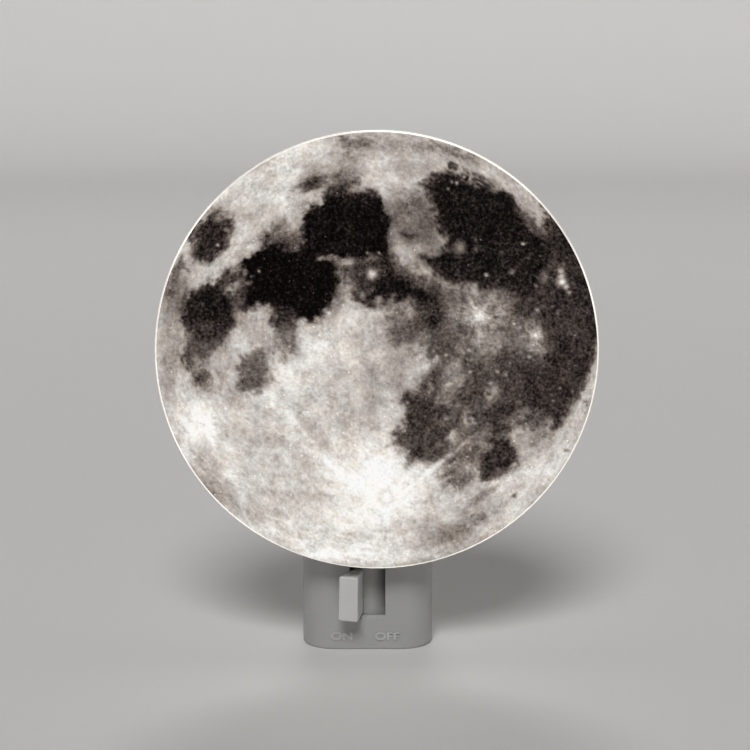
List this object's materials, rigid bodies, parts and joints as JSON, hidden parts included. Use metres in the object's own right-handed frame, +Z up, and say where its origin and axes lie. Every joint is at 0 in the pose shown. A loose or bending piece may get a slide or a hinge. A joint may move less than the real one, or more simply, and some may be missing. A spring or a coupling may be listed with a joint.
{
  "type": "plug-in night light",
  "caption": "Plug-in wall night light: a round opal disc with a moon print on a bracket, in front of a small plug housing with a lever switch and a screw-in bulb.",
  "frame": {"origin": "on the wall plane, midway between the two plug blades", "axes": "+Y into the wall along the blades, +Z up along the disc, the disc faces -Y"},
  "size_m": [0.12, 0.055, 0.146],
  "materials": {
    "housing_white": "moulded, fine satin",
    "cover_white": "moulded, matt",
    "lever_white": "moulded, satin",
    "bracket_white": "moulded, satin",
    "screw_steel": "zinc plated",
    "blade_brass": "stamped, lightly worn",
    "rivet_brass": "pressed",
    "strip_brass": "rolled strip",
    "spring_steel": "rolled strip",
    "black_phenolic": "moulded, matt",
    "shell_brass": "rolled thread",
    "black_insulator": "glossy black",
    "solder": "soft solder",
    "clear_glass": "clear, blown",
    "stem_glass": "clear, pressed",
    "lead_wire": "drawn wire",
    "filament": "coiled wire",
    "opal_acrylic": "opal, polished edge",
    "printed_film": "satin print",
    "foam_tape": "closed-cell foam"
  },
  "bodies": {
    "base": {"front_shell": "housing_white", "rear_cover": "cover_white", "cover_screws": "screw_steel", "blade_line": "blade_brass", "blade_neutral": "blade_brass", "blade_rivets": "rivet_brass", "line_strip": "strip_brass", "neutral_strip": "strip_brass", "centre_contact": "strip_brass", "detent_spring": "spring_steel", "socket_cup": "black_phenolic", "socket_screw_shell": "shell_brass"},
    "switch": {"switch_rotor": "lever_white", "switch_wiper": "strip_brass"},
    "bulb_foot": {"bulb_insulator": "black_insulator", "bulb_tip_contact": "solder"},
    "bulb": {"bulb_screw_shell": "shell_brass", "bulb_glass": "clear_glass", "bulb_stem": "stem_glass", "bulb_leads": "lead_wire", "bulb_filament": "filament"},
    "shade": {"diffuser_disc": "opal_acrylic", "moon_print": "printed_film", "hanger_bracket": "bracket_white", "adhesive_pads": "foam_tape"}
  },
  "joints": [
    {"name": "lever_swing", "type": "hinge", "parent": "base", "child": "switch", "pos_m": [0, -0.0184, -0.0055], "axis": [0, 0, 1], "range_deg": [0, 35]},
    {"name": "bulb_rise", "type": "slide", "parent": "base", "child": "bulb_foot", "axis": [0, 0, 1], "range_m": [0, 0.00763]},
    {"name": "bulb_turn", "type": "hinge", "parent": "bulb_foot", "child": "bulb", "pos_m": [0, -0.0184, 0.02], "axis": [0, 0, 1], "range_deg": [0, 1080]},
    {"name": "shade_lift", "type": "slide", "parent": "base", "child": "shade", "axis": [0, 0, 1], "range_m": [0, 0.0135]}
  ],
  "couplings": [
    {"joint": "bulb_rise", "follows": "bulb_turn", "m_per_rad": 0.00040425}
  ]
}
